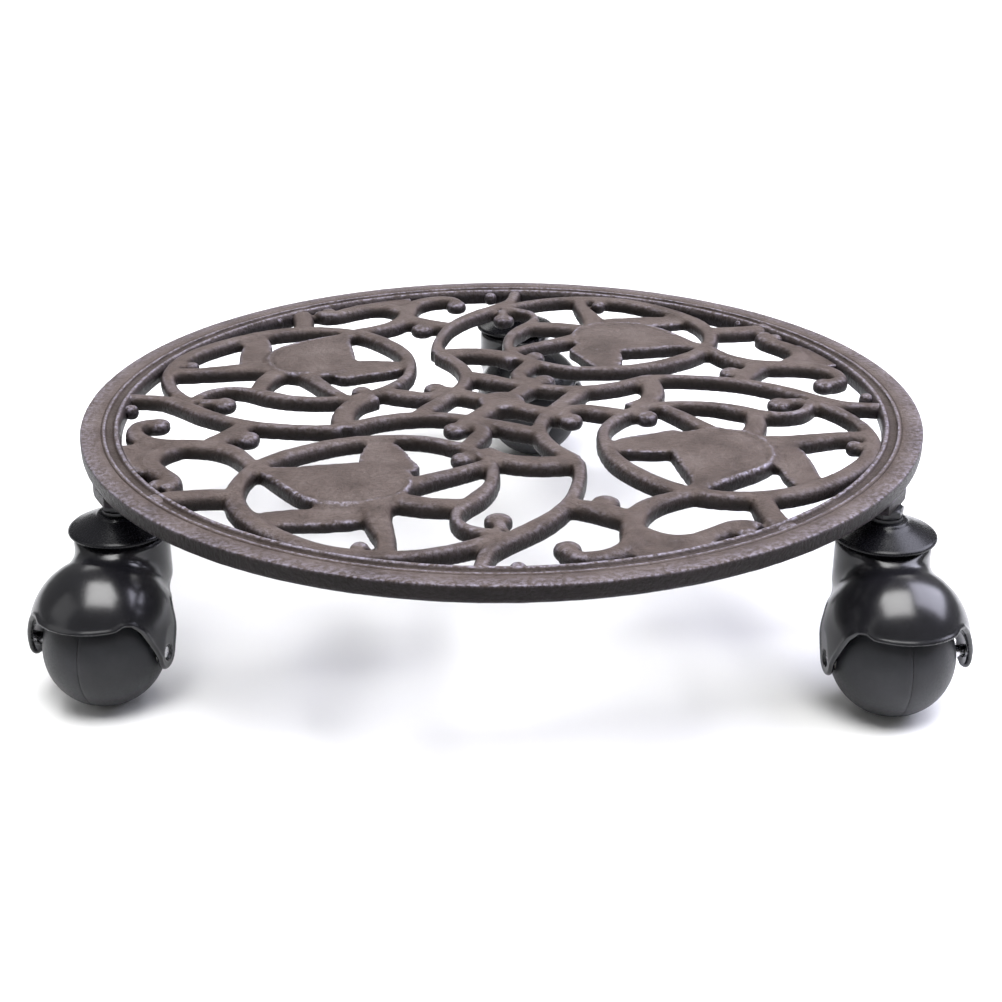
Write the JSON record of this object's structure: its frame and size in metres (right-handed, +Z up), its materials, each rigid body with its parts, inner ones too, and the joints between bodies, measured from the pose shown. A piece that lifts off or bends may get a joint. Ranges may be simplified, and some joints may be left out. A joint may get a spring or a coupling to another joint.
{
  "type": "plant pot caddy",
  "caption": "Round openwork cast-iron plate with vine scrolls and tulips, on swivelling hooded ball casters, for rolling a heavy plant pot about.",
  "frame": {"origin": "centre of the plate's top face, where the pot rests", "axes": "+Z up, -Y towards the caddy's front, +X to the right seen from the front"},
  "size_m": [0.3065, 0.3118, 0.072],
  "materials": {
    "cast_iron": "antique brown, sand-cast grain, worn ridges",
    "zinc_steel": "dull zinc plating",
    "black_steel": "black, satin",
    "cap_black": "black enamel on pressed steel, semi-gloss",
    "spring_steel": "spring steel, oiled",
    "bearing_steel": "polished",
    "bush_steel": "turned",
    "hood_plastic": "moulded, semi-gloss black",
    "axle_steel": "bright steel",
    "ball_plastic": "moulded, matte dark grey",
    "sleeve_plastic": "natural, smooth"
  },
  "bodies": {
    "plate": {"cast_plate": "cast_iron", "stud_left": "zinc_steel", "lock_nut_left": "black_steel", "lock_washer_left": "black_steel", "flange_cap_left": "cap_black", "retaining_clip_left": "spring_steel", "stud_right": "zinc_steel", "lock_nut_right": "black_steel", "lock_washer_right": "black_steel", "flange_cap_right": "cap_black", "retaining_clip_right": "spring_steel", "stud_rear": "zinc_steel", "lock_nut_rear": "black_steel", "lock_washer_rear": "black_steel", "flange_cap_rear": "cap_black", "retaining_clip_rear": "spring_steel"},
    "swivel_left": {"hood_left": "hood_plastic", "swivel_bush_left": "bush_steel", "bearing_balls_left": "bearing_steel", "axle_left": "axle_steel"},
    "wheel_left": {"wheel_half_a_left": "ball_plastic", "wheel_half_b_left": "ball_plastic", "hub_sleeve_left": "sleeve_plastic"},
    "swivel_right": {"hood_right": "hood_plastic", "swivel_bush_right": "bush_steel", "bearing_balls_right": "bearing_steel", "axle_right": "axle_steel"},
    "wheel_right": {"wheel_half_a_right": "ball_plastic", "wheel_half_b_right": "ball_plastic", "hub_sleeve_right": "sleeve_plastic"},
    "swivel_rear": {"hood_rear": "hood_plastic", "swivel_bush_rear": "bush_steel", "bearing_balls_rear": "bearing_steel", "axle_rear": "axle_steel"},
    "wheel_rear": {"wheel_half_a_rear": "ball_plastic", "wheel_half_b_rear": "ball_plastic", "hub_sleeve_rear": "sleeve_plastic"}
  },
  "joints": [
    {"name": "swivel_left", "type": "hinge", "parent": "plate", "child": "swivel_left", "pos_m": [-0.12713, -0.06673, -0.025], "axis": [0, 0, 1], "continuous": true},
    {"name": "roll_left", "type": "hinge", "parent": "swivel_left", "child": "wheel_left", "pos_m": [-0.13233, -0.08759, -0.052], "axis": [0.9703, -0.2419, 0], "continuous": true},
    {"name": "swivel_right", "type": "hinge", "parent": "plate", "child": "swivel_right", "pos_m": [0.12376, -0.07812, -0.025], "axis": [0, 0, 1], "continuous": true},
    {"name": "roll_right", "type": "hinge", "parent": "swivel_right", "child": "wheel_right", "pos_m": [0.12563, -0.09954, -0.052], "axis": [0.9962, 0.0872, 0], "continuous": true},
    {"name": "swivel_rear", "type": "hinge", "parent": "plate", "child": "swivel_rear", "pos_m": [0.00818, 0.14485, -0.025], "axis": [0, 0, 1], "continuous": true},
    {"name": "roll_rear", "type": "hinge", "parent": "swivel_rear", "child": "wheel_rear", "pos_m": [0.01588, 0.12478, -0.052], "axis": [0.9336, 0.3584, 0], "continuous": true}
  ]
}
